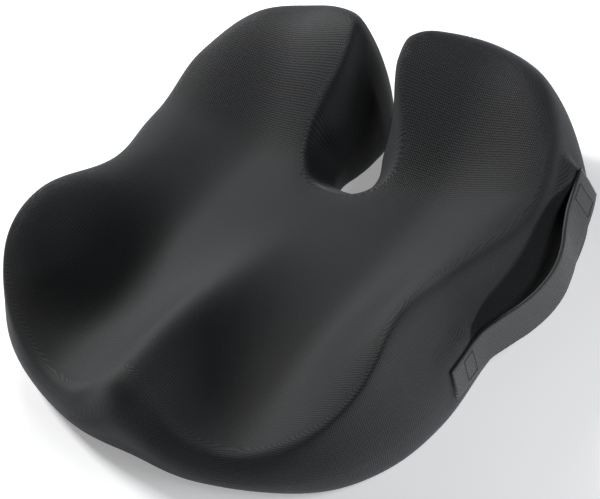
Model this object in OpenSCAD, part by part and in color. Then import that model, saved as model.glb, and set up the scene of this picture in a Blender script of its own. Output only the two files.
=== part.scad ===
// Contoured seat cushion: a foam core with two raised rear lobes, a front pommel and a narrow cut-out at the
// tailbone, in a zipped knit cover with a webbing carry strap sewn to its right-hand side.
// Millimetres. +X is the sitter's right, +Y is towards the backrest, +Z is up, z = 0 is the seat it rests on.

/* [Cushion] */
// Overall width of the cushion without its strap
cushion_w = 418; // [400:1:440]
// Overall depth, front lip to rear lobes
cushion_d = 429; // [414:1:444]
// Height of the seat floor at the front
floor_f = 33; // [30:1:38]
// Height of the seat floor at the rear
floor_r = 44; // [40:1:48]
// Rise of the pommel between the thighs
pommel_h = 43; // [34:1:50]
// Half width of the pommel
pommel_w = 40; // [34:1:46]
// Extra rise of the side bolsters beside the thighs
wing_h = 42; // [32:1:50]
// Rise of the side bolsters along their whole length
bolster_h = 26; // [18:1:32]
// Rise of the rear lobes next to the cut-out
lobe_in = 95; // [80:1:105]
// Rise of the rear lobes at their outer ends
lobe_out = 50; // [40:1:60]

/* [Cover] */
// Thickness of the knit cover
cover_t = 1.4; // [1.2:0.1:1.6]
// Thickness of the underside panels
panel_t = 1.2; // [1.0:0.1:1.2]
// Spacing of the grip dots on the underside
dot_pitch = 26; // [24:1:34]
// Radius of one grip dot
dot_r = 2.6; // [2.0:0.1:3.2]

/* [Zip] */
// Half length of the zip chain
zip_half = 130; // [110:5:130]
// Pitch of the zip teeth
tooth_pitch = 5; // [5:1:6]
// Length of the pull tab
pull_len = 24; // [20:1:25]

/* [Strap] */
// Width of the webbing
strap_w = 28; // [24:1:30]
// Thickness of the webbing
strap_t = 3.2; // [2.6:0.2:3.2]
// Length of one stitch
stitch_len = 2.2; // [1.8:0.1:2.4]

/* [Hidden] */
kx = cushion_w/418;
ky = cushion_d/429;
shift = [-8.5, -4.9, 0];          // puts the middle of the whole object on x = y = 0
NS = 3;                            // samples between two stations of the outline
TOPS = 8;                          // strips across the seat
tuck = 9;                          // how far the cover turns in under the wall
z_base = 0.8;                      // underside of the fabric, above the grip dots
foam_d = cover_t + 1.2;            // foam skin below the outside of the cover
foam_z = 2.5;
zip_y = -60;
chan_half = zip_half + 26;
eps = 0.0001;

// Stations round the right half: x, y at the foot of the wall, then how far the crest lies in from it
outer_half = [
    [0, -209.5, 32], [64, -206, 16], [144, -177, 14], [184, -133, 14], [199, -76, 29], [197, -7, 34],
    [209, 58, 31], [202, 120, 23], [180, 163, 27], [140, 203, 29], [87, 219.5, 30]];
inner_half = [
    [0, 84, 22], [12, 86, 22], [17, 95, 27], [18, 107, 29], [14, 120, 28], [11, 134, 24],
    [10, 147, 20], [10, 162, 18], [16, 183, 19], [39, 206, 26], [87, 219.5, 30]];
// Wall shape from its widest line to the crest: share of the inset, share of the height
wall_shape = [[0.07, 0.22], [0.33, 0.46], [0.56, 0.68], [0.70, 0.87], [0.84, 0.965], [1, 1]];
// The same beside the cut-out, and for the fully rounded walls at the front and round the rear lobes
wall_tight = [[0.07, 0.22], [0.33, 0.46], [0.58, 0.68], [0.76, 0.88], [0.90, 0.97], [1, 1]];
wall_round = [[0.03, 0.22], [0.12, 0.46], [0.28, 0.68], [0.48, 0.87], [0.70, 0.965], [1, 1]];
// Strap stations, front sewn end to rear sewn end: y, then x, height of its middle, lean of its lower edge
strap_x = [[-68, 201.2], [-54, 201.2], [-40, 201], [-26, 202.5], [-10, 208.5], [8, 216], [26, 221], [44, 222.5],
    [62, 219.5], [80, 213.5], [96, 209], [108, 206.5], [122, 203], [132, 200]];
strap_z = [[-68, 38.5], [-40, 39], [-10, 40], [8, 41], [26, 43], [44, 46], [62, 49.5], [80, 53], [96, 56],
    [108, 58], [122, 60], [132, 61.5]];
strap_a = [[-68, 0], [-40, 2], [-10, 5], [26, 7], [62, 9], [80, 14], [96, 20], [108, 23], [122, 22],
    [132, 20]];

function S(t) = let(u = max(0, min(1, t))) u*u*(3 - 2*u);
function G(t) = exp(-t*t);
// Cross-section of the pommel: a rounded ridge, 1 at the middle
function ridge(x) = 1.06*exp(-pow(x*x + 36, 0.75)/pow(pommel_w, 1.5));
// Height of the seat surface over a point of the plan
function seat(px, py) = let(
        x = px/kx, y = py/ky, ax = abs(x),
        s = y < -80 ? 65 : 75,
        side = bolster_h + wing_h*G((y + 80)/s),
        t = max(0, min(1, (ax - 30)/140)),
        lobe = lobe_in*(1 - t) + lobe_out*t)
    floor_f + (floor_r - floor_f)*S((y + 190)/210)
    + pommel_h*ridge(x)*S((30 - y)/180)
    + side*S((ax - 82)/99)
    + lobe*S((y - 74)/120);

function spline(a, b, c, d, t) = t <= 0 ? b : t >= 1 ? c :
    0.5*(2*b + (c - a)*t + (2*a - 5*b + 4*c - d)*t*t + (3*b - a - 3*c + d)*t*t*t);
function whole(h) = concat([for (i = [10:-1:1]) [-h[i][0]*kx, h[i][1]*ky, h[i][2]]],
    [for (p = h) [p[0]*kx, p[1]*ky, p[2]]]);
function curve(h, o) = let(f = whole(h), g = whole(o), p = concat([g[1]], f, [g[19]]))
    concat([for (k = [0:19], j = [0:NS - 1]) spline(p[k], p[k + 1], p[k + 2], p[k + 3], j/NS)], [f[20]]);
OC = curve(outer_half, inner_half);
IC = curve(inner_half, outer_half);
NC = len(OC) - 1;
// Unit normal in plan, pointing into the cushion
function inward(c, i, sgn) = (i == 0 || i == NC) ? [0, -1] :
    let(t = c[i + 1] - c[i - 1], l = norm([t[0], t[1]])) [-t[1]*sgn/l, t[0]*sgn/l];
ON = [for (i = [0:NC]) inward(OC, i, 1)];
IN = [for (i = [0:NC]) inward(IC, i, -1)];

// One wall column at depth d below the skin, foot at height zb, from the foot up to the crest;
// top_k cuts the last step short
function foot_point(c, n, d, zb, zw, a) = let(p = [c[0], c[1]] + n*(d + tuck*(1 - sin(a))))
    [p[0], p[1], zb + (zw - zb)*(1 - cos(a))];
function wall_point(c, n, d, zc, zw, w) = let(p = [c[0], c[1]] + n*(d + c[2]*w[0]))
    [p[0], p[1], w[1] == 1 ? zc - d : zw + (zc - d - zw)*w[1]];
function wall(c, n, d, zb, top_k = 1, slot = false) = let(
        r = [c[0], c[1]] + n*c[2], zc = seat(r[0], r[1]), zw = 8 + 0.28*zc, y = c[1]/ky,
        m = max(S((y - 115)/65), S((-140 - y)/50)),
        w = (slot ? wall_tight : wall_shape)*(1 - m) + wall_round*m)
    concat([for (a = [0, 45, 90]) foot_point(c, n, d, zb, zw, a)],
        [for (k = [0:4]) wall_point(c, n, d, zc, zw, w[k])],
        [wall_point(c, n, d, zc, zw, w[4]*(1 - top_k) + w[5]*top_k)]);
WR = 8;                            // last row of a wall column
// Rows across the seat of column i, straight below the skin except close to a crest
function top_rows(i, d) = let(
        a = [OC[i][0], OC[i][1]] + ON[i]*OC[i][2], b = [IC[i][0], IC[i][1]] + IN[i]*IC[i][2], l = norm(b - a))
    [for (k = [1:TOPS - 1]) let(s = k/TOPS, p = a + (b - a)*s, w = max(0, 1 - min(s, 1 - s)*l/20),
        q = p + (ON[i] + (IN[i] - ON[i])*s)*(d*w)) [q[0], q[1], seat(p[0], p[1]) - d]];
// Whole column: outer wall, seat, inner wall
function column(i, d, zb) = let(b = wall(IC[i], IN[i], d, zb, 1, true))
    concat(wall(OC[i], ON[i], d, zb), top_rows(i, d), [for (k = [WR:-1:0]) b[k]]);
// Outer wall and seat only
function cover_column(i, d, zb) = concat(wall(OC[i], ON[i], d, zb), top_rows(i, d),
    [wall(IC[i], IN[i], d, zb, 1, true)[WR]]);
function gusset_column(i, d, zb) = let(b = wall(IC[i], IN[i], d, zb, 0.9, true)) [for (k = [WR:-1:0]) b[k]];

function differ(p, a, b) = norm(p[a] - p[b]) > eps;
function real_faces(p, f) = [for (t = f)
    if (differ(p, t[0], t[1]) && differ(p, t[1], t[2]) && differ(p, t[2], t[0])) t];
function pair(a, b, c, d) = [[a, b, c], [a, c, d]];
function joined(l) = [for (a = l, b = a) b];
// Faces over a grid of columns and rows starting at point o
function skin(o, m, flip) = joined([for (i = [0:NC - 1], k = [0:m - 2])
    let(a = o + i*m + k, b = a + 1, c = a + m + 1, d = a + m) flip ? pair(a, d, c, b) : pair(a, b, c, d)]);

// A closed solid under a set of whole columns
module filled(cols) {
    m = len(cols[0]);
    p = joined(cols);
    foot = joined([for (i = [0:NC - 1]) pair(i*m, (i + 1)*m, (i + 1)*m + m - 1, i*m + m - 1)]);
    polyhedron(points = p, faces = real_faces(p, concat(skin(0, m, false), foot)), convexity = 8);
}
// A fabric shell between two sets of columns, closed by a rim round its edge
module shell(outs, ins) {
    m = len(outs[0]);
    q = (NC + 1)*m;
    p = concat(joined(outs), joined(ins));
    rim = concat(
        joined([for (i = [0:NC - 1]) pair(i*m, (i + 1)*m, q + (i + 1)*m, q + i*m)]),
        joined([for (i = [0:NC - 1]) let(e = i*m + m - 1) pair(e, q + e, q + e + m, e + m)]),
        joined([for (k = [0:m - 2]) pair(k, q + k, q + k + 1, k + 1)]),
        joined([for (k = [0:m - 2]) let(e = NC*m + k) pair(e, e + 1, q + e + 1, q + e)]));
    f = concat(skin(0, m, false), skin(q, m, true), rim);
    polyhedron(points = p, faces = real_faces(p, f), convexity = 8);
}

// Closed outline of the underside, d inside the foot of the wall
function foot_ring(d) = concat(
    [for (i = [0:NC]) let(p = [OC[i][0], OC[i][1]] + ON[i]*(tuck + d)) p],
    [for (i = [NC - 1:-1:1]) let(p = [IC[i][0], IC[i][1]] + IN[i]*(tuck + d)) p]);
FR = foot_ring(cover_t + 0.3);
function inside(p, q) = len([for (i = [0:len(q) - 1]) let(a = q[i], b = q[(i + 1) % len(q)])
    if ((a[1] > p[1]) != (b[1] > p[1]) && p[0] < a[0] + (p[1] - a[1])/(b[1] - a[1])*(b[0] - a[0])) 1]) % 2
    == 1;
function away(p, q) = min([for (a = q) norm(a - p)]);

module place() { translate(shift) children(); }

module foam_core() color([0.93, 0.90, 0.80]) place() difference() {
    filled([for (i = [0:NC]) column(i, foam_d, foam_z)]);
    translate([-chan_half - 2, zip_y, 0]) rotate([90, 0, 90]) linear_extrude(2*chan_half + 4)
        polygon([[-18, 1], [-18, 3.3], [-10, 3.6], [-7.4, 10.4], [7.4, 10.4], [10, 3.6], [18, 3.3], [18, 1]]);
}
module cover_top() color([0.17, 0.18, 0.20]) place()
    shell([for (i = [0:NC]) cover_column(i, 0, z_base)], [for (i = [0:NC]) cover_column(i, cover_t, z_base)]);
module cutout_gusset() color([0.13, 0.14, 0.16]) place()
    shell([for (i = [0:NC]) gusset_column(i, 0, z_base)],
        [for (i = [0:NC]) gusset_column(i, cover_t, z_base)]);

module panel(front) translate([0, 0, z_base]) linear_extrude(panel_t) difference() {
    polygon(FR);
    translate([-400, front ? zip_y - 0.2 : zip_y + 0.2 - 600]) square([800, 600]);
    translate([-chan_half, zip_y - 4.8]) square([2*chan_half, 9.6]);
}
module bottom_front_panel() color([0.11, 0.11, 0.12]) place() panel(true);
module bottom_rear_panel() color([0.11, 0.11, 0.12]) place() panel(false);

module dots(front) for (r = [-10:10], c = [-10:10])
    let(p = [c*dot_pitch + (r % 2 == 0 ? 0 : dot_pitch/2), r*dot_pitch*0.87])
    if ((front ? p[1] < zip_y - 13 : p[1] > zip_y + 13) && inside(p, FR) && away(p, FR) > 13)
        translate([p[0], p[1], 0]) cylinder(h = z_base, r = dot_r);
module grip_dots_front() color([0.30, 0.31, 0.33]) place() dots(true);
module grip_dots_rear() color([0.30, 0.31, 0.33]) place() dots(false);

// Tape with its flange on the panel and its inner edge at the coil
module tape() translate([-zip_half - 5, zip_y, 0]) rotate([90, 0, 90]) linear_extrude(2*zip_half + 10)
    polygon([[3.1, 6.7], [5.6, 6.7], [8.6, 2.1], [17, 2.1], [17, 2.7], [9.0, 2.7], [6.0, 7.3], [3.1, 7.3]]);
module zip_tape_rear() color([0.09, 0.09, 0.10]) place() tape();
module zip_tape_front() color([0.09, 0.09, 0.10]) place() translate([0, 2*zip_y, 0]) mirror([0, 1, 0]) tape();
// Toothed chain half
module coil() translate([0, zip_y, 5.8]) linear_extrude(2.4) polygon(concat(
    [[zip_half, 3], [-zip_half, 3], [-zip_half, 1.6]],
    joined([for (i = [0:2*zip_half/tooth_pitch - 1]) let(x = -zip_half + i*tooth_pitch)
        [[x + 1, 1.6], [x + 1, 0.7], [x + tooth_pitch - 1.5, 0.7], [x + tooth_pitch - 1.5, 1.6]]]),
    [[zip_half, 1.6]]));
module zip_coil_rear() color([0.07, 0.07, 0.08]) place() coil();
module zip_coil_front() color([0.07, 0.07, 0.08]) place() translate([0, 2*zip_y, 0]) mirror([0, 1, 0]) coil();
module zip_stops() color([0.55, 0.56, 0.58]) place() for (s = [-1, 1])
    translate([s*(zip_half + 2) - 1.2, zip_y - 2.8, 5.6]) cube([2.4, 5.6, 2.8]);
module end_tab(s) translate([s > 0 ? zip_half + 6 : -zip_half - 24, zip_y - 5.5, 5.0]) cube([18, 11, 0.7]);
module zip_end_tab_left() color([0.09, 0.09, 0.10]) place() end_tab(-1);
module zip_end_tab_right() color([0.09, 0.09, 0.10]) place() end_tab(1);
slider_x = zip_half - 7;
module zip_slider() color([0.60, 0.61, 0.63]) place() translate([slider_x, zip_y, 0]) {
    translate([-6.5, -5, 4.4]) cube([13, 10, 1]);
    translate([-6.5, -5, 8.6]) cube([13, 10, 1]);
    translate([-2, -0.35, 4.4]) cube([4, 0.7, 5.2]);
    for (s = [-1, 1]) {
        translate([-6.5, s*4.6 - 0.4, 4.4]) cube([13, 0.8, 1.9]);
        translate([-6.5, s*4.6 - 0.4, 7.7]) cube([13, 0.8, 1.9]);
        translate([s*4.9 - 0.6, -1, 1.2]) cube([1.2, 2, 3.6]);
    }
    translate([-5.5, -1, 1.2]) cube([11, 2, 1]);
}
module zip_pull() color([0.60, 0.61, 0.63]) place() translate([slider_x, zip_y, 3.3]) {
    rotate([90, 0, 0]) cylinder(h = 7, r = 0.7, center = true, $fn = 32);
    difference() {
        translate([-pull_len, -3.5, -0.6]) cube([pull_len, 7, 1.2]);
        translate([-6.9, -1.9, -1]) cube([8, 3.8, 2]);
        translate([-pull_len + 4, 0, -1]) cylinder(h = 2, r = 1.6, $fn = 32);
    }
}

// A point of the strap: y along it, w across it (up), t out of its face
function heading(y) = let(e = 3) atan2(2*e, lookup(y + e, strap_x) - lookup(y - e, strap_x));
function strap_point(y, w, t) = let(h = heading(y), a = lookup(y, strap_a), o = [sin(h), -cos(h)],
        u = t*cos(a) - w*sin(a), z = w*cos(a) + t*sin(a))
    [lookup(y, strap_x)*kx + o[0]*u, y*ky + o[1]*u, lookup(y, strap_z) + z];
module web(ys) {
    h = strap_w/2;
    t = strap_t/2;
    p = joined([for (y = ys)
        [strap_point(y, -h, -t), strap_point(y, -h, t), strap_point(y, h, t), strap_point(y, h, -t)]]);
    e = 4*(len(ys) - 1);
    polyhedron(points = p, faces = concat([[0, 1, 2], [0, 2, 3], [e, e + 2, e + 1], [e, e + 3, e + 2]],
        joined([for (i = [0:len(ys) - 2], k = [0:3]) let(a = 4*i + k, b = 4*i + (k + 1) % 4)
            pair(a, a + 4, b + 4, b)])), convexity = 4);
}
module handle_end_front() color([0.22, 0.23, 0.25]) place() web([-68, -61, -54, -47, -40, -34]);
module handle_grip() color([0.22, 0.23, 0.25]) place()
    web([-33.4, -26, -18, -10, -1, 8, 17, 26, 35, 44, 53, 62, 71, 80, 86]);
module handle_end_rear() color([0.22, 0.23, 0.25]) place() web([86.6, 92, 96, 102, 108, 115, 122, 132]);
module dash(y, w, up) translate(strap_point(y, w, strap_t/2)) rotate([0, 0, heading(y)])
    rotate([-lookup(y, strap_a), 0, 0])
    translate([up ? -0.35 : -stitch_len/2, -0.72, up ? -stitch_len/2 : -0.35])
    cube([up ? 0.7 : stitch_len, 0.6, up ? stitch_len : 0.7]);
module stitch_box(y0, y1, h) {
    ny = round((y1 - y0)/3);
    nw = round(2*h/3);
    for (i = [0:ny], s = [-1, 1]) dash(y0 + (y1 - y0)*i/ny, s*h, false);
    for (i = [1:nw - 1], y = [y0, y1]) dash(y, -h + 2*h*i/nw, true);
}
module handle_stitch_front() color([0.05, 0.05, 0.06]) place() stitch_box(-53, -42, 10);
module handle_stitch_rear() color([0.05, 0.05, 0.06]) place() stitch_box(107, 121, 10);

foam_core();
cover_top();
cutout_gusset();
bottom_front_panel();
bottom_rear_panel();
grip_dots_front();
grip_dots_rear();
zip_tape_front();
zip_tape_rear();
zip_coil_front();
zip_coil_rear();
zip_stops();
zip_end_tab_left();
zip_end_tab_right();
zip_slider();
zip_pull();
handle_end_front();
handle_grip();
handle_end_rear();
handle_stitch_front();
handle_stitch_rear();
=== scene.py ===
import math
import bmesh
import bpy
import numpy as np
from mathutils import Matrix, Vector
from mathutils.geometry import delaunay_2d_cdt


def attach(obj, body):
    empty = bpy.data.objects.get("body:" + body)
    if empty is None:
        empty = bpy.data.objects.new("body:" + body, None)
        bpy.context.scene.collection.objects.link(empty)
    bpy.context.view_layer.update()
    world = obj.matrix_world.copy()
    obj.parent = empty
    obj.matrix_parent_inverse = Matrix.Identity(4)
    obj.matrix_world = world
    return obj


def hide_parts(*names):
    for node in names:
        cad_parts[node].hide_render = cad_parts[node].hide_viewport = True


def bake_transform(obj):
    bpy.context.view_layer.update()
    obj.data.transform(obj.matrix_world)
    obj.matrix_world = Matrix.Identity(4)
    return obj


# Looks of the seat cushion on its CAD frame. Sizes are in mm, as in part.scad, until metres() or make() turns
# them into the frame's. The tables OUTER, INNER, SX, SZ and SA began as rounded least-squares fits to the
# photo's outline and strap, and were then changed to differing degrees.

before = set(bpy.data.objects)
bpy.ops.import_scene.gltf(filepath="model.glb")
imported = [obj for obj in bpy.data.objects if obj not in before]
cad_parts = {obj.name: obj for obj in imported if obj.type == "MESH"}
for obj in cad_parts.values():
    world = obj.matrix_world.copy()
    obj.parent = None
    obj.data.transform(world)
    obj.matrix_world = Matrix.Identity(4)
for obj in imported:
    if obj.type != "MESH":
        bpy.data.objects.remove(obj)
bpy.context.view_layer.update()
scene = bpy.context.scene

# ---------------------------------------------------------------- shape of the cushion, as in part.scad
SHIFT = np.array([-8.5, -4.9, 0.0])  # from the drawing's origin to the frame's
# Right half of the outline, from front to lobe tip, and of the slot, from bottom to lobe tip: x, y, and how
# far in from there the wall's crest lies.
OUTER = [(0, -209.5, 32), (64, -206, 16), (144, -177, 14), (184, -133, 14), (199, -76, 29), (197, -7, 34),
         (209, 58, 31), (202, 120, 23), (180, 163, 27), (140, 203, 29), (87, 219.5, 30)]
INNER = [(0, 84, 22), (12, 86, 22), (17, 95, 27), (18, 107, 29), (14, 120, 28), (11, 134, 24),
         (10, 147, 20), (10, 162, 18), (16, 183, 19), (39, 206, 26), (87, 219.5, 30)]
# Section of a wall from its widest line to its crest: share of the inset, share of the height.
SIDE_WALL = [(0, 0), (0.07, 0.22), (0.33, 0.46), (0.56, 0.68), (0.70, 0.87), (0.84, 0.965), (1, 1)]
SLOT_WALL = [(0, 0), (0.07, 0.22), (0.33, 0.46), (0.58, 0.68), (0.76, 0.88), (0.90, 0.97), (1, 1)]
ROUND_WALL = [(0, 0), (0.03, 0.22), (0.12, 0.46), (0.28, 0.68), (0.48, 0.87), (0.70, 0.965), (1, 1)]
TUCK = 9.0          # how far the foot runs in under the widest line
WIDE_Z, WIDE_SHARE = 8, 0.28    # height of the widest line: a fixed part, and a share of the crest's height
FOOT_Z = 0.8        # the underside's height over the plane that the grip dots stand on
ZIP_Y = -60.0       # the zip's line across the underside
ZIP_Z = 7.0         # height of the chain's middle

# The seat's heights, and where each of its features starts.
BOWL_FRONT, BOWL_RISE, BOWL_Y = 33, 11, -190
RIDGE_TALL, RIDGE_SPREAD, RIDGE_END_Y = 43 * 1.06, 253, 30
BOLSTER_LOW, BOLSTER_BULGE, BOLSTER_X, BOLSTER_Y = 26, 42, 82, -80
LOBE_INNER, LOBE_OUTER, LOBE_X, LOBE_Y = 95, 50, 30, 74
LOBE_DOME, DOME_Y = 6, 150

def smooth(t):
    u = np.clip(t, 0, 1)
    return u * u * (3 - 2 * u)

def rise(v, start, run):
    """0 up to start, 1 from start + run on, and smooth between them."""
    return smooth((v - start) / run)

def bell(t):
    return np.exp(-t * t)

def seat(x, y):
    """Height of the seat over a point in plan: bowl, pommel ridge, side bolsters, rear lobes."""
    ax = np.abs(x)
    z = BOWL_FRONT + BOWL_RISE * rise(y, BOWL_Y, 210)
    z = z + RIDGE_TALL * np.exp(-((x * x + 36) ** 0.75) / RIDGE_SPREAD) * rise(-y, -RIDGE_END_Y, 180)
    bolster = BOLSTER_LOW + BOLSTER_BULGE * bell((y - BOLSTER_Y) / np.where(y < BOLSTER_Y, 65.0, 75.0))
    z = z + bolster * rise(ax, BOLSTER_X, 99)
    across = np.clip((ax - LOBE_X) / 140, 0, 1)
    lobe = LOBE_INNER * (1 - across) + LOBE_OUTER * across
    return z + lobe * rise(y, LOBE_Y, 120) - LOBE_DOME * (1 - across) * rise(y, DOME_Y, 60)

def spline(pts, steps):
    """Catmull-Rom through all but the first and last point, with so many steps a span."""
    p = np.array(pts, float)
    out = []
    for k in range(1, len(p) - 2):
        a, b, c, d = p[k - 1], p[k], p[k + 1], p[k + 2]
        for j in range(steps):
            t = j / steps
            out.append(0.5 * (2 * b + (c - a) * t + (2 * a - 5 * b + 4 * c - d) * t ** 2
                              + (3 * b - a - 3 * c + d) * t ** 3))
    out.append(p[-2])
    return np.array(out)

def whole(half):
    """Both halves of a symmetric line, left tip to right tip."""
    return [(-x, y, inset) for x, y, inset in half[:0:-1]] + list(half)

def outline(half, other, steps):
    """A smooth line between the lobe tips, led in and out of them by the other line."""
    line, lead = whole(half), whole(other)
    return spline([lead[1]] + line + [lead[-2]], steps)

def inward(line, sign):
    """Unit normals in plan that point into the foam."""
    t = np.gradient(line[:, :2], axis=0)
    t /= np.linalg.norm(t, axis=1)[:, None]
    normals = np.stack([-t[:, 1], t[:, 0]], 1) * sign
    normals[0] = normals[-1] = (0, -1)
    return normals

def wall_rows(line, normals, under, foot_z, arc_steps, wall_steps, slot):
    """Rows of one wall, foot to crest, each an (N, 3) array."""
    crest = line[:, :2] + normals * line[:, 2:3]
    z_crest = seat(crest[:, 0], crest[:, 1])
    z_wide = WIDE_Z + WIDE_SHARE * z_crest

    def row(inset, z):
        return np.column_stack([line[:, :2] + normals * inset, z])
    rows = [row(under + TUCK * (1 - math.sin(a)), foot_z + (z_wide - foot_z) * (1 - math.cos(a)))
            for a in np.linspace(0, math.pi / 2, arc_steps + 1)]
    steep = spline([(0.07, -0.22)] + (SLOT_WALL if slot else SIDE_WALL) + [(1.14, 1.0)], wall_steps)[1:-1]
    full = spline([(0.03, -0.22)] + ROUND_WALL + [(1.14, 1.0)], wall_steps)[1:-1]
    rounder = np.maximum(rise(line[:, 1], 115, 65), rise(-line[:, 1], 140, 50))     # lobes and front
    for a, b in zip(steep, full):
        inset, lift = a[0] * (1 - rounder) + b[0] * rounder, a[1] * (1 - rounder) + b[1] * rounder
        rows.append(row((under + line[:, 2] * inset)[:, None], z_wide + (z_crest - under - z_wide) * lift))
    rows.append(row(under + line[:, 2:3], z_crest - under))
    return rows

def in_polygon(points, polygon):
    x, y = points[:, 0], points[:, 1]
    inside = np.zeros(len(points), bool)
    for (x0, y0), (x1, y1) in zip(polygon, np.roll(polygon, -1, 0)):
        if y0 != y1:
            inside ^= ((y0 > y) != (y1 > y)) & (x < x0 + (y - y0) / (y1 - y0) * (x1 - x0))
    return inside

def near(points, others, reach):
    out = np.zeros(len(points), bool)
    for q in others:
        out |= ((points - q) ** 2).sum(1) < reach * reach
    return out

def lengths(points):
    """Distance run along a line of points, at each of them."""
    return np.concatenate([[0], np.cumsum(np.linalg.norm(np.diff(points, axis=0), axis=1))])

REACH = 222         # half the side of the square that the seat's lattice of points covers
ROW_GAP = 0.866     # gap between the lattice's rows, as a share of its pitch
EDGE_GAP = 0.62     # gap between the lattice and the crest, as a share of its pitch

def cushion_mesh(under, foot_z, steps, arc_steps, wall_steps, grid, closed):
    """The cushion's skin, so far under the cover's face: vertices, faces, the weave coordinate of each face's
    corners, and the vertices of the foot."""
    verts, faces, weave, rings = [], [], [], []

    def add(p):
        verts.append(p)
        return len(verts) - 1

    def around(level):
        return rings[0][level] + rings[1][level][-2:0:-1]

    def fill(ring, extra, new_corner, facing):
        """Triangles inside a ring of vertices, with extra points; facing is 1 for up and -1 for down."""
        points = [Vector(verts[i][:2]) for i in ring] + [Vector(p) for p in extra]
        found = delaunay_2d_cdt(points, [], [list(range(len(ring)))], 1, 1e-5)
        ids = []
        for corner, sources in zip(found[0], found[3]):
            own = [s for s in sources if s < len(ring)]
            ids.append(ring[own[0]] if own else new_corner(corner))
        for face in found[2]:
            q = [ids[j] for j in face]
            if None in q or len(set(q)) < 3:
                continue
            a, b, c = (verts[j][:2] for j in q)
            if ((b - a)[0] * (c - a)[1] - (b - a)[1] * (c - a)[0]) * facing < 0:
                q = q[::-1]
            faces.append(q)
            weave.append([tuple(verts[j][:2]) for j in q])

    sides = ((outline(OUTER, INNER, steps), 1, False), (outline(INNER, OUTER, steps), -1, True))
    for line, sign, slot in sides:
        last = len(line) - 1
        rows = wall_rows(line, inward(line, sign), under, foot_z, arc_steps, wall_steps, slot)
        ids = [[rings[0][k][i] if slot and i in (0, last) else add(row[i]) for i in range(last + 1)]
               for k, row in enumerate(rows)]
        rings.append(ids)
        along = lengths(line[:, :2])
        steps_up = [np.linalg.norm(b - a, axis=1) for a, b in zip(rows, rows[1:])]
        climb = np.cumsum([np.zeros(last + 1)] + steps_up, axis=0)
        for k in range(len(rows) - 1):
            for i in range(last):
                corners = [(k, i), (k, i + 1), (k + 1, i + 1), (k + 1, i)]
                if slot:
                    corners = corners[::-1]
                faces.append([ids[a][b] for a, b in corners])
                weave.append([(along[b], climb[a][b]) for a, b in corners])

    crest = around(-1)
    edge = np.array([verts[i][:2] for i in crest])
    lattice = np.array([(x + (grid / 2 if j % 2 else 0), y)
                        for j, y in enumerate(np.arange(-215, REACH, grid * ROW_GAP))
                        for x in np.arange(-REACH, REACH, grid)])
    lattice = lattice[in_polygon(lattice, edge)]
    lattice = lattice[~near(lattice, edge, grid * EDGE_GAP)]
    fill(crest, lattice, lambda p: add(np.array([p.x, p.y, float(seat(p.x, p.y)) - under])), 1)
    if closed:
        fill(around(0), [], lambda p: None, -1)
    return verts, faces, weave, set(around(0))

def metres(points):
    return (np.array(points, float) + SHIFT) * 0.001

def make(name, verts, faces, weave=None, mat=None):
    """A smooth-shaded object from vertices in mm, with the weave coordinates as its UV map."""
    mesh = bpy.data.meshes.new(name)
    mesh.from_pydata(metres(verts).tolist(), [], [list(f) for f in faces])
    mesh.update()
    if weave is not None:
        flat = np.array([c for f in weave for c in f], float) / 1000.0
        mesh.uv_layers.new(name="weave").data.foreach_set("uv", flat.ravel())
    mesh.polygons.foreach_set("use_smooth", [True] * len(mesh.polygons))
    ob = bpy.data.objects.new(name, mesh)
    scene.collection.objects.link(ob)
    if mat:
        mesh.materials.append(mat)
    return ob

def face_outwards(mesh):
    bm = bmesh.new()
    bm.from_mesh(mesh)
    bmesh.ops.recalc_face_normals(bm, faces=bm.faces)
    bm.to_mesh(mesh)
    bm.free()

def read_points(mesh):
    co = np.empty(len(mesh.vertices) * 3)
    mesh.vertices.foreach_get("co", co)
    return co.reshape(-1, 3)

def write_points(mesh, co):
    mesh.vertices.foreach_set("co", co.ravel())
    mesh.update()

# ---------------------------------------------------------------- materials
def new_mat(name):
    m = bpy.data.materials.new(name)
    m.use_nodes = True
    nt = m.node_tree
    nt.nodes.clear()
    out = nt.nodes.new("ShaderNodeOutputMaterial")
    bsdf = nt.nodes.new("ShaderNodeBsdfPrincipled")
    nt.links.new(bsdf.outputs[0], out.inputs[0])
    return m, nt, bsdf

def node(nt, kind, **props):
    n = nt.nodes.new(kind)
    for k, v in props.items():
        setattr(n, k, v)
    return n

def grey(v):
    return (v, v, v)

def shade(colour, factor):
    return tuple(factor * c for c in colour)

def ramp(nt, src, low, high):
    """Colour ramp between two stops, each (position, colour)."""
    r = node(nt, "ShaderNodeValToRGB")
    for stop, (position, colour) in zip(r.color_ramp.elements, (low, high)):
        stop.position = position
        stop.color = tuple(colour) + (1.0,)
    nt.links.new(src, r.inputs[0])
    return r.outputs[0]

def plug(nt, socket, value):
    """Links an output to a socket, or sets the socket to a constant."""
    if isinstance(value, (int, float)):
        socket.default_value = value
    elif isinstance(value, tuple):
        socket.default_value = value + (1.0,)
    else:
        nt.links.new(value, socket)

def calc(nt, op, *values):
    n = node(nt, "ShaderNodeMath", operation=op)
    for socket, value in zip(n.inputs, values):
        plug(nt, socket, value)
    return n.outputs[0]

def mix(nt, factor, a, b, blend="MIX"):
    n = node(nt, "ShaderNodeMix", data_type="RGBA", blend_type=blend)
    for socket, value in ((n.inputs[0], factor), (n.inputs[6], a), (n.inputs[7], b)):
        plug(nt, socket, value)
    return n.outputs[2]

def coords(nt, source, scale):
    """Object coordinates, or the weave's UV map, times a scale."""
    mapping = node(nt, "ShaderNodeMapping")
    mapping.inputs["Scale"].default_value = scale
    nt.links.new(node(nt, "ShaderNodeTexCoord").outputs[source], mapping.inputs[0])
    return mapping.outputs[0]

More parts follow.
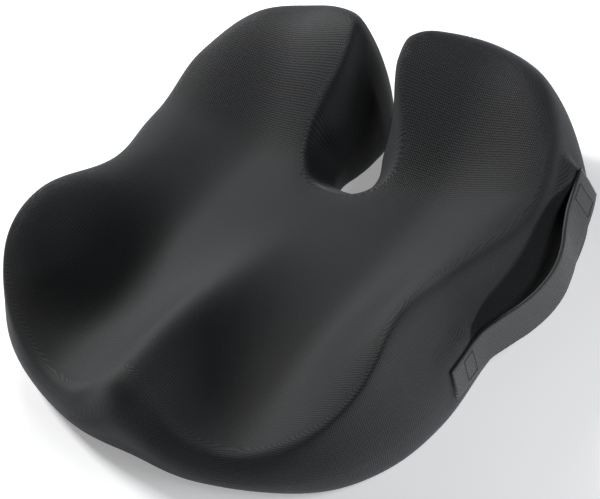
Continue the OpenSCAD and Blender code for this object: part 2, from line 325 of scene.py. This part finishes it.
def noise(nt, scale, detail=2):
    n = node(nt, "ShaderNodeTexNoise")
    n.inputs["Scale"].default_value = scale
    n.inputs["Detail"].default_value = detail
    nt.links.new(coords(nt, "Object", (1, 1, 1)), n.inputs["Vector"])
    return n.outputs[0]

def cells(nt, scale):
    n = node(nt, "ShaderNodeTexVoronoi", feature="F1")
    n.inputs["Scale"].default_value = scale
    nt.links.new(coords(nt, "Object", (1, 1, 1)), n.inputs["Vector"])
    return n.outputs["Distance"]

def wave(nt, value, turns):
    """A sine between 0 and 1, with so many turns for each unit of the value."""
    angle = calc(nt, "MULTIPLY", value, 2 * math.pi * turns)
    return calc(nt, "MULTIPLY_ADD", calc(nt, "SINE", angle), 0.5, 0.5)

def bump(nt, bsdf, height, strength, distance):
    b = node(nt, "ShaderNodeBump")
    b.inputs["Strength"].default_value = strength
    b.inputs["Distance"].default_value = distance
    nt.links.new(height, b.inputs["Height"])
    nt.links.new(b.outputs[0], bsdf.inputs["Normal"])

def knit(name, dark, light, pitch=0.0016, rough=0.70):
    """Fine dotted knit: rows of small loops on a lattice, with fibre fuzz and slight piece-dye variation."""
    m, nt, bsdf = new_mat(name)
    loops = node(nt, "ShaderNodeTexVoronoi", feature="F1", voronoi_dimensions="2D")
    loops.inputs["Scale"].default_value = 1.0
    loops.inputs["Randomness"].default_value = 0.12
    nt.links.new(coords(nt, "UV", (1 / pitch,) * 3), loops.inputs["Vector"])
    dots = ramp(nt, loops.outputs["Distance"], (0.10, grey(1)), (0.60, grey(0)))
    fibre = noise(nt, 2600, 3)
    fuzz = ramp(nt, fibre, (0.30, (0.25, 0.25, 0.26)), (0.72, (0.9, 0.9, 0.92)))
    cloud = ramp(nt, noise(nt, 22, 4), (0.35, grey(0.42)), (0.65, grey(0.58)))
    tone = mix(nt, 0.30, mix(nt, dots, dark, light), fuzz, "SOFT_LIGHT")
    nt.links.new(mix(nt, 0.5, tone, cloud, "OVERLAY"), bsdf.inputs["Base Color"])
    worn = ramp(nt, dots, (0.0, grey(rough + 0.12)), (1.0, grey(rough - 0.06)))
    nt.links.new(worn, bsdf.inputs["Roughness"])
    bsdf.inputs["Sheen Weight"].default_value = 0.13
    bsdf.inputs["Sheen Roughness"].default_value = 0.45
    bsdf.inputs["Sheen Tint"].default_value = (0.86, 0.92, 1.0, 1.0)
    bsdf.inputs["Specular IOR Level"].default_value = 0.3
    bump(nt, bsdf, calc(nt, "ADD", dots, calc(nt, "MULTIPLY", fibre, 0.25)), 0.55, 0.0004)
    return m

def webbing_mat(name, dark, light, pitch=0.0018):
    """Ribbed webbing: ribs on the bias of the tape, picks across them, and painted shade on its edges, in
    metres.
    """
    m, nt, bsdf = new_mat(name)
    sep = node(nt, "ShaderNodeSeparateXYZ")
    nt.links.new(coords(nt, "UV", (1 / pitch, 1 / pitch, 1)), sep.inputs[0])
    along, across = sep.outputs[0], sep.outputs[1]
    rib = wave(nt, calc(nt, "ADD", along, calc(nt, "MULTIPLY", across, 0.55)), 1)
    pick = wave(nt, across, 2.1)
    weave = calc(nt, "MULTIPLY", rib, calc(nt, "ADD", calc(nt, "MULTIPLY", pick, 0.35), 0.65))
    fibre = noise(nt, 3000)
    fuzz = ramp(nt, fibre, (0.3, grey(0.3)), (0.7, grey(0.8)))
    tone = mix(nt, 0.3, mix(nt, weave, dark, light), fuzz, "SOFT_LIGHT")
    painted_shade_edge = 0.0127     # its distance from the tape's middle
    # Painted shade: past this distance the tape's edge faces are coloured much darker, standing in for the
    # shade along the strap's edges.
    painted_edge_shade = calc(nt, "GREATER_THAN", calc(nt, "ABSOLUTE", across), painted_shade_edge / pitch)
    nt.links.new(mix(nt, painted_edge_shade, tone, shade(dark, 0.2)), bsdf.inputs["Base Color"])
    bsdf.inputs["Roughness"].default_value = 0.62
    bsdf.inputs["Sheen Weight"].default_value = 0.3
    bsdf.inputs["Sheen Roughness"].default_value = 0.4
    bump(nt, bsdf, calc(nt, "ADD", weave, calc(nt, "MULTIPLY", fibre, 0.2)), 0.6, 0.0004)
    return m

def plain_weave(name, dark, light, pitch=0.0011, rough=0.7):
    """Over-and-under weave: one small rounded crossing after another, every second one a shade darker."""
    m, nt, bsdf = new_mat(name)
    sep = node(nt, "ShaderNodeSeparateXYZ")
    nt.links.new(coords(nt, "Object", (math.pi / pitch,) * 3), sep.inputs[0])
    cross = calc(nt, "MULTIPLY", calc(nt, "SINE", sep.outputs[0]), calc(nt, "SINE", sep.outputs[1]))
    crown = calc(nt, "POWER", calc(nt, "ABSOLUTE", cross), 0.6)
    thread = mix(nt, calc(nt, "GREATER_THAN", cross, 0.0), shade(light, 0.78), light)
    cloud = ramp(nt, noise(nt, 60), (0.35, grey(0.4)), (0.65, grey(0.62)))
    tone = mix(nt, 0.4, mix(nt, crown, dark, thread), cloud, "OVERLAY")
    nt.links.new(tone, bsdf.inputs["Base Color"])
    bsdf.inputs["Roughness"].default_value = rough
    bsdf.inputs["Sheen Weight"].default_value = 0.2
    bump(nt, bsdf, crown, 0.5, 0.0003)
    return m

def foam_mat(name):
    """Open-cell foam: small pores among larger ones."""
    m, nt, bsdf = new_mat(name)
    pores = calc(nt, "MINIMUM", cells(nt, 900), calc(nt, "MULTIPLY", cells(nt, 160), 2.2))
    tone = ramp(nt, pores, (0.05, (0.52, 0.43, 0.27)), (0.35, (0.84, 0.77, 0.58)))
    nt.links.new(tone, bsdf.inputs["Base Color"])
    bsdf.inputs["Roughness"].default_value = 0.9
    bsdf.inputs["Subsurface Weight"].default_value = 0.15
    bump(nt, bsdf, pores, 0.5, 0.0006)
    return m

def moulded_mat(name, colour, rough, specular, coat=0.0):
    """Silicone, nylon or enamel with a fine grain in its colour and roughness."""
    m, nt, bsdf = new_mat(name)
    grain = noise(nt, 900)
    tone = mix(nt, 0.35, colour, ramp(nt, grain, (0.3, shade(colour, 0.7)), (0.7, shade(colour, 1.3))))
    nt.links.new(tone, bsdf.inputs["Base Color"])
    worn = ramp(nt, grain, (0.3, grey(rough - 0.06)), (0.7, grey(rough + 0.08)))
    nt.links.new(worn, bsdf.inputs["Roughness"])
    bsdf.inputs["Specular IOR Level"].default_value = specular
    bsdf.inputs["Coat Weight"].default_value = coat
    bump(nt, bsdf, grain, 0.12, 0.0002)
    return m

KNIT = knit("charcoal_knit", (0.0038, 0.0041, 0.0045), (0.0178, 0.0184, 0.0195))
WEB = webbing_mat("charcoal_webbing", (0.010, 0.0106, 0.0115), (0.029, 0.0302, 0.0325))
BASE = plain_weave("underside_cloth", (0.010, 0.010, 0.011), (0.034, 0.034, 0.037))
TAPE = plain_weave("zip_tape_weave", (0.008, 0.008, 0.009), (0.026, 0.026, 0.028), pitch=0.0007)
THREAD = plain_weave("thread", (0.006, 0.006, 0.007), (0.020, 0.020, 0.022), pitch=0.0003, rough=0.6)
FOAM = foam_mat("memory_foam")
DOTS = moulded_mat("silicone", (0.055, 0.055, 0.058), 0.42, 0.45)
COIL = moulded_mat("nylon_coil", (0.016, 0.016, 0.018), 0.34, 0.5)
METAL = moulded_mat("black_enamel", (0.035, 0.035, 0.038), 0.28, 0.6, coat=0.4)

# ---------------------------------------------------------------- line of the strap, as in part.scad
STRAP_W, STRAP_T = 28.0, 3.2
STRAP_START, STRAP_END = -68, 132
STRAP_SEWN = ((-68.0, -41.0), (106.0, 132.0))   # y ranges where the strap lies on the cover
STRAP_CROWN = 0.35      # how much higher the face is along its middle than at its edges
STRAP_SINK = 0.2        # takes part of the crown back, so that the face stays near the CAD's
STRAP_FACE = STRAP_T / 2 - 0.1 - STRAP_SINK     # the face's height at its edges, from the middle plane
# Stations along y: x of the strap's middle, its height, and its lean in degrees.
SX = [(-68, 201.2), (-54, 201.2), (-40, 201), (-26, 202.5), (-10, 208.5), (8, 216), (26, 221), (44, 222.5),
      (62, 219.5), (80, 213.5), (96, 209), (108, 206.5), (122, 203), (132, 200)]
SZ = [(-68, 38.5), (-40, 39), (-10, 40), (8, 41), (26, 43), (44, 46), (62, 49.5), (80, 53), (96, 56),
      (108, 58), (122, 60), (132, 61.5)]
SA = [(-68, 0), (-40, 2), (-10, 5), (26, 7), (62, 9), (80, 14), (96, 20), (108, 23), (122, 22), (132, 20)]

def hermite(y, table):
    """A smooth value between the stations of a table."""
    ys, vs = np.array(table, float).T
    g = np.gradient(vs, ys)
    y = np.clip(y, ys[0], ys[-1])
    k = np.clip(np.searchsorted(ys, y, side="right") - 1, 0, len(ys) - 2)
    h = ys[k + 1] - ys[k]
    t = (y - ys[k]) / h
    return ((2 * t**3 - 3 * t**2 + 1) * vs[k] + (t**3 - 2 * t**2 + t) * h * g[k]
            + (-2 * t**3 + 3 * t**2) * vs[k + 1] + (t**3 - t**2) * h * g[k + 1])

def strap_point(y, w, t):
    """A point of the strap: y along it, w up its width, t out of its middle plane."""
    e = 1.5
    tx = hermite(y + e, SX) - hermite(y - e, SX)
    ty = np.clip(y + e, STRAP_START, STRAP_END) - np.clip(y - e, STRAP_START, STRAP_END)
    run = np.hypot(tx, ty)
    lean = np.radians(hermite(y, SA))
    out = t * np.cos(lean) - w * np.sin(lean)
    up = w * np.cos(lean) + t * np.sin(lean)
    return np.stack([hermite(y, SX) + ty / run * out, y - tx / run * out, hermite(y, SZ) + up], -1)

def strap_crown(w):
    return STRAP_CROWN * (1 - (w / (STRAP_W / 2)) ** 2)

# ---------------------------------------------------------------- cover
COVER_MOVE = 0.0012     # the most that the Cloth step may move the cover, in metres

def run_cloth(ob, pinned, cap):
    """A short pressure simulation with its movement capped, applied to the mesh."""
    start = read_points(ob.data)
    group = ob.vertex_groups.new(name="pin")
    group.add(pinned, 1.0, "REPLACE")
    mod = ob.modifiers.new("cloth", "CLOTH")
    cs = mod.settings
    cs.quality = 4
    cs.mass = 0.25
    cs.tension_stiffness = 40
    cs.compression_stiffness = 40
    cs.shear_stiffness = 15
    cs.bending_stiffness = 0.5
    cs.use_pressure = True
    cs.uniform_pressure_force = 3.0
    cs.vertex_group_mass = "pin"
    cs.effector_weights.gravity = 0
    mod.collision_settings.use_collision = False
    mod.collision_settings.use_self_collision = False
    mod.point_cache.frame_start = 1
    mod.point_cache.frame_end = 20
    for f in range(1, 17):
        scene.frame_set(f)
    evaluated = ob.evaluated_get(bpy.context.evaluated_depsgraph_get())
    end = read_points(evaluated.to_mesh())
    evaluated.to_mesh_clear()
    ob.modifiers.remove(mod)
    ob.vertex_groups.remove(group)
    scene.frame_set(1)
    move = end - start
    length = np.linalg.norm(move, axis=1)
    share = np.where(length > 1e-9, cap * np.tanh(length / cap) / np.maximum(length, 1e-9), 0)
    write_points(ob.data, start + move * share[:, None])

def relax(mesh, fixed, passes, amount):
    """Evens out the surface, as cloth over foam does; fixed vertices stay."""
    co = read_points(mesh)
    ends = np.empty(len(mesh.edges) * 2, int)
    mesh.edges.foreach_get("vertices", ends)
    a, b = ends.reshape(-1, 2).T
    degree = np.bincount(a, minlength=len(co)) + np.bincount(b, minlength=len(co))
    free = np.ones(len(co))
    free[list(fixed)] = 0
    for _ in range(passes):
        total = np.zeros_like(co)
        np.add.at(total, a, co[b])
        np.add.at(total, b, co[a])
        co = co + (total / np.maximum(degree, 1)[:, None] - co) * (amount * free)[:, None]
    write_points(mesh, co)

def meet_strap(points):
    """Moves the wall (mm) on to the back of the strap where it is sewn down, fading out around it."""
    reach, fade, most = 26, 15.0, 13
    out = points.copy()
    for y0, y1 in STRAP_SEWN:
        ys, ws = np.meshgrid(np.linspace(y0, y1, 25), np.linspace(-STRAP_W / 2, STRAP_W / 2, 23))
        back = strap_point(ys.ravel(), ws.ravel(), np.full(ys.size, -STRAP_T / 2 - 0.1))
        wall = (points[:, 0] > 150) & (points[:, 1] > y0 - reach) & (points[:, 1] < y1 + reach)
        for i in np.where(wall)[0]:
            dy, dz = back[:, 1] - points[i, 1], back[:, 2] - points[i, 2]
            j = np.argmin(dy * dy + dz * dz)
            gap = back[j, 0] - points[i, 0]
            if abs(gap) <= most:
                w = smooth(1 - math.hypot(dy[j], dz[j]) / fade) * smooth((most - abs(gap)) / 4)
                out[i, 0] += gap * w
    return out

verts, faces, weave, foot = cushion_mesh(0.0, FOOT_Z, 12, 6, 4, 5.0, False)
cover = make("cover_skin", verts, faces, weave, KNIT)
run_cloth(cover, sorted(foot), COVER_MOVE)
relax(cover.data, foot, 6, 0.5)
write_points(cover.data, metres(meet_strap(read_points(cover.data) * 1000 - SHIFT)))
thickness = cover.modifiers.new("cloth_thickness", "SOLIDIFY")
thickness.thickness = 0.0012
thickness.offset = -1
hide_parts("cover_top", "cutout_gusset")
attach(cover, "root")

# ---------------------------------------------------------------- foam core
def cut_zip_recess(ob):
    """Takes the channel that the zip lies in out of the foam."""
    half_length = 158.0
    section = [(-18, 1), (-18, 3.3), (-10, 3.6), (-7.4, 10.4), (7.4, 10.4), (10, 3.6), (18, 3.3), (18, 1)]
    n = len(section)
    verts = [(x, ZIP_Y + y, z) for x in (-half_length, half_length) for y, z in section]
    sides = [[(i + 1) % n, i, n + i, n + (i + 1) % n] for i in range(n)]
    cutter = make("zip_recess_cutter", verts, [list(range(n)), list(range(2 * n - 1, n - 1, -1))] + sides)
    face_outwards(cutter.data)
    cut = ob.modifiers.new("recess", "BOOLEAN")
    cut.operation = "DIFFERENCE"
    cut.object = cutter
    cut.solver = "EXACT"
    mesh = bpy.data.meshes.new_from_object(ob.evaluated_get(bpy.context.evaluated_depsgraph_get()))
    ob.modifiers.clear()
    ob.data = mesh
    bpy.data.objects.remove(cutter)

verts, faces, weave, foot = cushion_mesh(2.9, 2.5, 6, 3, 2, 8.0, True)
foam = make("foam_block", verts, faces, weave, FOAM)
relax(foam.data, foot, 3, 0.5)
cut_zip_recess(foam)
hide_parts("foam_core")
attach(foam, "root")

# ---------------------------------------------------------------- carry strap
def strap_section():
    """The strap's section, anticlockwise from its outer upper corner: rounded corners and divided faces."""
    r = 1.1
    cx, cy = STRAP_W / 2 - r, STRAP_T / 2 - 0.1 - r
    corners = ((cx, cy, 0), (-cx, cy, 90), (-cx, -cy, 180), (cx, -cy, 270))
    bends = [(x + r * math.cos(math.radians(start + a)), y + r * math.sin(math.radians(start + a)))
             for x, y, start in corners for a in (0, 30, 60, 90)]
    out = []
    for here, following in zip(bends, bends[1:] + bends[:1]):
        out.append(here)
        if abs(following[0] - here[0]) > 5:
            out += [(here[0] + (following[0] - here[0]) * j / 8, here[1]) for j in range(1, 8)]
    return out

def strap_mesh(y0, y1, steps, close_start, close_end):
    section = strap_section()
    m = len(section)
    ys = np.linspace(y0, y1, steps)
    run = lengths(strap_point(ys, 0 * ys, 0 * ys)) + y0
    raised = [(w, t + (strap_crown(w) if t > 0 else 0) - STRAP_SINK) for w, t in section]
    verts = [strap_point(np.array(y), np.array(w), np.array(t)) for y in ys for w, t in raised]
    faces, weave = [], []
    for i in range(steps - 1):
        for k in range(m):
            k2 = (k + 1) % m
            faces.append([i * m + k, i * m + k2, (i + 1) * m + k2, (i + 1) * m + k])
            w, w2 = section[k][0], section[k2][0]
            weave.append([(run[i], w), (run[i], w2), (run[i + 1], w2), (run[i + 1], w)])
    if close_start:
        faces.append(list(range(m))[::-1])
        weave.append([(run[0], section[k][0]) for k in range(m)][::-1])
    if close_end:
        faces.append([(steps - 1) * m + k for k in range(m)])
        weave.append([(run[-1], section[k][0]) for k in range(m)])
    return verts, faces, weave

STRAP_MID = 26.0
strap_a = make("strap_front_half", *strap_mesh(STRAP_START, STRAP_MID, 64, True, False), WEB)
strap_b = make("strap_rear_half", *strap_mesh(STRAP_MID, STRAP_END, 72, False, True), WEB)
for ob in (strap_a, strap_b):
    face_outwards(ob.data)
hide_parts("handle_end_front", "handle_grip")
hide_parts("handle_end_rear")
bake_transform(strap_a)
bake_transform(strap_b)

def capsule(a, b, r, seg=8):
    """A short thread lying from a to b, rounded at its ends."""
    a, b = np.array(a, float), np.array(b, float)
    d = b - a
    length = np.linalg.norm(d)
    d /= length
    s = np.cross(d, (0, 0, 1.0)) if abs(d[2]) < 0.9 else np.cross(d, (1.0, 0, 0))
    s /= np.linalg.norm(s)
    t = np.cross(d, s)
    rings = [(-0.7 * r, 0.55 * r), (0.0, r), (length, r), (length + 0.7 * r, 0.55 * r)]
    turns = [k * 2 * math.pi / seg for k in range(seg)]
    verts = [a + d * z + (s * math.cos(turn) + t * math.sin(turn)) * q for z, q in rings for turn in turns]
    faces = [[j * seg + k, j * seg + (k + 1) % seg, (j + 1) * seg + (k + 1) % seg, (j + 1) * seg + k]
             for j in range(3) for k in range(seg)]
    return verts, faces + [list(range(seg))[::-1], list(range(3 * seg, 4 * seg))]

def gather(parts):
    """One list of vertices and one of faces from many."""
    all_verts, all_faces = [], []
    for verts, faces in parts:
        offset = len(all_verts)
        all_verts += list(verts)
        all_faces += [[i + offset for i in f] for f in faces]
    return all_verts, all_faces

def stitch_box(name, y0, y1, h, replaces):
    """A rectangle of stitches on the strap's face, from y0 to y1 and h either side of its middle."""
    pitch, r, gap = 2.6, 0.32, 0.12
    along, across = round((y1 - y0) / pitch), round(2 * h / pitch)

    def spot(y, w):
        return strap_point(np.array(y), np.array(float(w)), np.array(STRAP_FACE + 0.24 + strap_crown(w)))

    def span(start, length, i, n):
        return start + length * (i + gap) / n, start + length * (i + 1 - gap) / n
    parts = []
    for w in (-h, h):
        for i in range(along):
            a, b = span(y0, y1 - y0, i, along)
            parts.append(capsule(spot(a, w), spot(b, w), r))
    for y in (y0, y1):
        for i in range(across):
            a, b = span(-h, 2 * h, i, across)
            parts.append(capsule(spot(y, a), spot(y, b), r))
    ob = make(name, *gather(parts), None, THREAD)
    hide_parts(replaces)
    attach(ob, "root")

stitch_box("strap_stitches_front", -53.5, -41.5, 10, "handle_stitch_front")
stitch_box("strap_stitches_rear", 107, 121, 10, "handle_stitch_rear")

# ---------------------------------------------------------------- underside
DOT_GAP, DOT_MARGIN = 26.0, 13
# Section of a grip dot from its root in the cloth to its tip: height, radius.
DOT_SECTION = [(0.80, 2.6), (0.52, 2.55), (0.22, 2.2), (0.05, 1.6), (0.0, 0.8)]

def foot_ring(inset, steps):
    """The foot's line in plan, moved in under the cushion."""
    sides = [line[:, :2] + inward(line, sign) * (TUCK + inset)
             for line, sign in ((outline(OUTER, INNER, steps), 1), (outline(INNER, OUTER, steps), -1))]
    return np.concatenate([sides[0], sides[1][-2:0:-1]])

def dot(x, y, seg=20):
    rows = len(DOT_SECTION)
    verts = [(x + r * math.cos(2 * math.pi * k / seg), y + r * math.sin(2 * math.pi * k / seg), z)
             for z, r in DOT_SECTION for k in range(seg)] + [(x, y, 0.0), (x, y, 0.8)]
    faces = [[j * seg + (k + 1) % seg, j * seg + k, (j + 1) * seg + k, (j + 1) * seg + (k + 1) % seg]
             for j in range(rows - 1) for k in range(seg)]
    faces += [[(rows - 1) * seg + (k + 1) % seg, (rows - 1) * seg + k, rows * seg] for k in range(seg)]
    faces += [[k, (k + 1) % seg, rows * seg + 1] for k in range(seg)]
    return verts, faces

def dot_field(name, front, replaces):
    """Staggered grip dots before or behind the zip, clear of it and of the foot."""
    ring = foot_ring(1.7, 3)
    parts = []
    for r in range(-10, 11):
        for c in range(-10, 11):
            x, y = c * DOT_GAP + (DOT_GAP / 2 if r % 2 else 0), r * DOT_GAP * 0.87
            if not (y < ZIP_Y - DOT_MARGIN if front else y > ZIP_Y + DOT_MARGIN):
                continue
            p = np.array([[x, y]])
            if in_polygon(p, ring)[0] and np.min(np.linalg.norm(ring - p[0], axis=1)) > DOT_MARGIN:
                parts.append(dot(x, y))
    ob = make(name, *gather(parts), None, DOTS)
    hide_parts(replaces)
    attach(ob, "root")

dot_field("grip_domes_front", True, "grip_dots_front")
dot_field("grip_domes_rear", False, "grip_dots_rear")

def row_of_stitches(name, path, pitch, r, z):
    """Lock stitches along a closed path in plan."""
    closed = np.vstack([path, path[:1]])
    run = lengths(closed)

    def spot(distance):
        return [np.interp(distance, run, closed[:, 0]), np.interp(distance, run, closed[:, 1]), z]
    count = int(run[-1] / pitch)
    parts = [capsule(spot((i + 0.15) * pitch), spot((i + 0.85) * pitch), r, 6) for i in range(count)]
    ob = make(name, *gather(parts), None, THREAD)
    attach(ob, "root")

row_of_stitches("hem_stitches", foot_ring(4.5, 6), 3.4, 0.28, 0.78)

# ---------------------------------------------------------------- zip
def coil_mesh(name, sign, replaces):
    """One chain half: a flattened nylon spiral with a bulged head on each turn."""
    turns, per, ring, thick = 104, 12, 6, 0.33
    half_length, end = 130.0, 0.6
    n = turns * per + 1
    t = np.arange(n) / per
    angle = 2 * math.pi * t
    path = np.stack([end - half_length + (half_length - end) * 2 * t / turns,
                     ZIP_Y + sign * (1.85 - 0.80 * np.cos(angle)), ZIP_Z + 0.85 * np.sin(angle)], 1)
    ahead = np.gradient(path, axis=0)
    ahead /= np.linalg.norm(ahead, axis=1)[:, None]
    side = np.cross(ahead, (1.0, 0, 0))
    side /= np.linalg.norm(side, axis=1)[:, None]
    up = np.cross(ahead, side)
    head = 1 + 0.12 * np.cos(angle)
    around = [2 * math.pi * k / ring for k in range(ring)]
    verts = [path[i] + (side[i] * math.cos(a) + up[i] * math.sin(a)) * thick * head[i]
             for i in range(n) for a in around]
    faces = [[i * ring + k, i * ring + (k + 1) % ring, (i + 1) * ring + (k + 1) % ring, (i + 1) * ring + k]
             for i in range(n - 1) for k in range(ring)]
    faces += [list(range(ring))[::-1], [(n - 1) * ring + k for k in range(ring)]]
    ob = make(name, verts, faces, None, COIL)
    face_outwards(ob.data)
    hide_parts(replaces)
    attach(ob, "root")

coil_mesh("zip_spiral_rear", 1, "zip_coil_rear")
coil_mesh("zip_spiral_front", -1, "zip_coil_front")

# ---------------------------------------------------------------- pieces kept from the CAD
def dress(node_name, mat, width=None):
    """Gives a CAD piece its material and, where a width is given, a small bevel."""
    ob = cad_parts[node_name]
    if not ob.material_slots:
        ob.data.materials.append(mat)
    for s in ob.material_slots:
        s.link = "OBJECT"
        s.material = mat
    if width:
        edge = ob.modifiers.new("edge", "BEVEL")
        edge.width = width
        edge.segments = 2
        edge.limit_method = "ANGLE"
        edge.angle_limit = math.radians(35)

for name in ("bottom_front_panel", "bottom_rear_panel"):
    dress(name, BASE)
for name in ("zip_tape_front", "zip_tape_rear", "zip_end_tab_left", "zip_end_tab_right"):
    dress(name, TAPE)
dress("zip_stops", METAL, 0.0003)
dress("zip_slider", METAL, 0.00022)
dress("zip_pull", METAL, 0.00022)

# ---------------------------------------------------------------- studio, in metres
LOOK_AT = 0.05          # height that the lights and the camera aim at

floor_mat, _, floor_bsdf = new_mat("studio_floor")
floor_bsdf.inputs["Base Color"].default_value = (0.92, 0.92, 0.92, 1)
floor_bsdf.inputs["Emission Color"].default_value = (1, 1, 1, 1)
floor_bsdf.inputs["Emission Strength"].default_value = 0.3
floor_bsdf.inputs["Roughness"].default_value = 0.9
bpy.ops.mesh.primitive_plane_add(size=14, location=(0, 0, 0))
floor = bpy.context.object
floor.name = "studio_floor"
floor.data.materials.append(floor_mat)

world = bpy.data.worlds.new("studio")
scene.world = world
world.use_nodes = True
background = world.node_tree.nodes["Background"]
background.inputs[0].default_value = (1.0, 1.0, 1.0, 1)
background.inputs[1].default_value = 0.02

def direction(azimuth, elevation):
    """Unit vector towards a viewpoint; azimuth 0 is the front and 90 the strap's side."""
    return Vector((math.sin(azimuth) * math.cos(elevation), -math.cos(azimuth) * math.cos(elevation),
                   math.sin(elevation)))

def softbox(name, azimuth, elevation, distance, size, power, colour=(1, 1, 1)):
    """A rectangular light, hidden from the camera, aimed at the cushion's middle."""
    light = bpy.data.lights.new(name, "AREA")
    light.shape = "RECTANGLE"
    light.size, light.size_y = size
    light.energy = power
    light.color = colour
    ob = bpy.data.objects.new(name, light)
    scene.collection.objects.link(ob)
    ob.visible_camera = False
    away = direction(math.radians(azimuth), math.radians(elevation))
    ob.location = away * distance + Vector((0, 0, LOOK_AT))
    ob.rotation_euler = (-away).to_track_quat("-Z", "Y").to_euler()

COOL = (0.94, 0.97, 1.0)
softbox("key_left", 263, 33, 1.7, (0.35, 0.35), 29)
softbox("rim_left", 240, 30, 0.75, (0.25, 0.25), 1.8)
softbox("low_right", 88, 4, 1.7, (0.7, 0.12), 22, COOL)
softbox("near_right", 90, 35, 0.9, (0.5, 0.16), 2.8, COOL)

# ---------------------------------------------------------------- camera, in metres
AZIMUTH, ELEVATION, ROLL = math.radians(47.32), math.radians(41.37), math.radians(-16.81)
DISTANCE, LENS, SENSOR = 1.19074, 92.631, 36   # lens and sensor width in mm
TARGET = Vector((0.01651, -0.01248, LOOK_AT))

back = direction(AZIMUTH, ELEVATION)
level = Vector((math.cos(AZIMUTH), math.sin(AZIMUTH), 0))
up = back.cross(level)
axes = (level * math.cos(ROLL) + up * math.sin(ROLL), up * math.cos(ROLL) - level * math.sin(ROLL), back)
cam_data = bpy.data.cameras.new("camera")
cam_data.sensor_width = SENSOR
cam_data.lens = LENS
cam_data.clip_start = 0.05
cam = bpy.data.objects.new("camera", cam_data)
scene.collection.objects.link(cam)
cam.matrix_world = Matrix.Translation(TARGET + back * DISTANCE) @ Matrix(axes).transposed().to_4x4()
scene.camera = cam
scene.view_settings.view_transform = "Standard"
scene.view_settings.look = "None"
